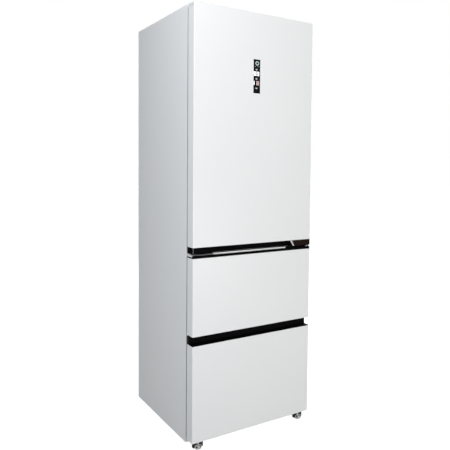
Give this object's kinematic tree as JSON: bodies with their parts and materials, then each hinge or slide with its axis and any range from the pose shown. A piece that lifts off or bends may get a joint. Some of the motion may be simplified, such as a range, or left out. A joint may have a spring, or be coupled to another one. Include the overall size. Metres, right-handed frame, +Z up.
{
  "type": "refrigerator",
  "caption": "Upright refrigerator with a hinged door over pull-out freezer drawers on telescopic rails, recessed black grips and a narrow touch display.",
  "frame": {"origin": "on the floor below the middle of the refrigerator", "axes": "+X to the right seen from the front, the fronts face -Y, +Z up"},
  "size_m": [0.595, 0.57, 1.806],
  "materials": {
    "white_steel": "satin",
    "back_steel": "satin",
    "galvanised": "satin",
    "foam": "matte",
    "liner_white": "gloss",
    "white_plastic": "satin",
    "black_gloss": "gloss",
    "black_matte": "matte",
    "display_black": "gloss",
    "bright_trim": "polished",
    "gasket_grey": "matte",
    "shelf_glass": "polished",
    "clear_plastic": "gloss",
    "lamp_lens": "gloss",
    "compressor_black": "satin",
    "fin_aluminium": "brushed",
    "rail_steel": "satin",
    "hinge_steel": "satin",
    "screw_steel": "satin",
    "foot_grey": "satin",
    "roller_plastic": "matte"
  },
  "bodies": {
    "cabinet": {"outer_shell": "white_steel", "back_panel": "back_steel", "base_pan": "back_steel", "cabinet_insulation": "foam", "fridge_liner": "liner_white", "freezer_liner": "liner_white", "mullion_trim": "white_steel", "freezer_crossbar": "liner_white", "compressor_base": "galvanised", "compressor": "compressor_black", "drip_tray": "black_matte", "machine_cover": "black_matte", "evaporator": "fin_aluminium", "evaporator_cover": "white_plastic", "fan_motor": "compressor_black", "air_duct_cover": "white_plastic", "ceiling_lamp": "lamp_lens", "shelf_glass_1": "shelf_glass", "shelf_glass_2": "shelf_glass", "shelf_glass_3": "shelf_glass", "shelf_trims": "white_plastic", "crisper_lid": "shelf_glass", "crisper_left": "clear_plastic", "crisper_right": "clear_plastic", "foot_brackets": "black_matte", "top_hinge_bracket": "hinge_steel", "top_hinge_cover": "white_plastic", "middle_hinge_bracket": "hinge_steel", "hinge_screws": "screw_steel", "drawer_rails_fixed": "rail_steel"},
    "door": {"door_skin": "white_steel", "door_insulation": "foam", "door_liner": "liner_white", "door_top_cap": "white_plastic", "door_bottom_trim": "black_gloss", "grip_edge_trims": "bright_trim", "door_gasket": "gasket_grey", "display_panel": "display_black", "door_bin_upper": "clear_plastic", "door_bin_middle": "clear_plastic", "door_bin_lower": "clear_plastic"},
    "middle_drawer": {"middle_front_skin": "white_steel", "middle_front_core": "foam", "middle_top_cap": "black_gloss", "middle_gasket": "gasket_grey", "middle_box": "clear_plastic", "middle_rails_inner": "rail_steel"},
    "lower_drawer": {"lower_front_skin": "white_steel", "lower_front_core": "foam", "lower_top_trim": "black_gloss", "lower_gasket": "gasket_grey", "lower_box": "clear_plastic", "lower_rails_inner": "rail_steel"},
    "middle_rail_pair": {"middle_rails_mid": "rail_steel"},
    "lower_rail_pair": {"lower_rails_mid": "rail_steel"},
    "fan": {"fan_rotor": "black_matte"},
    "foot_left": {"levelling_foot_left": "foot_grey"},
    "foot_right": {"levelling_foot_right": "foot_grey"},
    "roller_left": {"rear_roller_left": "roller_plastic"},
    "roller_right": {"rear_roller_right": "roller_plastic"}
  },
  "joints": [
    {"name": "door_hinge", "type": "hinge", "parent": "cabinet", "child": "door", "pos_m": [0.2755, -0.261, 0.8], "axis": [0, 0, 1], "range_deg": [0, 120]},
    {"name": "middle_drawer_slide", "type": "slide", "parent": "cabinet", "child": "middle_drawer", "axis": [0, -1, 0], "range_m": [0, 0.36]},
    {"name": "lower_drawer_slide", "type": "slide", "parent": "cabinet", "child": "lower_drawer", "axis": [0, -1, 0], "range_m": [0, 0.36]},
    {"name": "middle_rail_slide", "type": "slide", "parent": "cabinet", "child": "middle_rail_pair", "axis": [0, -1, 0], "range_m": [0, 0.18]},
    {"name": "lower_rail_slide", "type": "slide", "parent": "cabinet", "child": "lower_rail_pair", "axis": [0, -1, 0], "range_m": [0, 0.18]},
    {"name": "fan_spin", "type": "hinge", "parent": "cabinet", "child": "fan", "pos_m": [0, 0.207, 0.695], "axis": [0, 1, 0], "continuous": true},
    {"name": "foot_left_screw", "type": "hinge", "parent": "cabinet", "child": "foot_left", "pos_m": [-0.2585, -0.261, 0.01], "axis": [0, 0, 1], "range_deg": [-720, 720]},
    {"name": "foot_right_screw", "type": "hinge", "parent": "cabinet", "child": "foot_right", "pos_m": [0.2585, -0.261, 0.01], "axis": [0, 0, 1], "range_deg": [-720, 720]},
    {"name": "roller_left_spin", "type": "hinge", "parent": "cabinet", "child": "roller_left", "pos_m": [-0.25, 0.247, 0.015], "axis": [1, 0, 0], "continuous": true},
    {"name": "roller_right_spin", "type": "hinge", "parent": "cabinet", "child": "roller_right", "pos_m": [0.25, 0.247, 0.015], "axis": [1, 0, 0], "continuous": true}
  ],
  "couplings": [
    {"joint": "middle_rail_slide", "follows": "middle_drawer_slide", "ratio": 0.5},
    {"joint": "lower_rail_slide", "follows": "lower_drawer_slide", "ratio": 0.5}
  ]
}
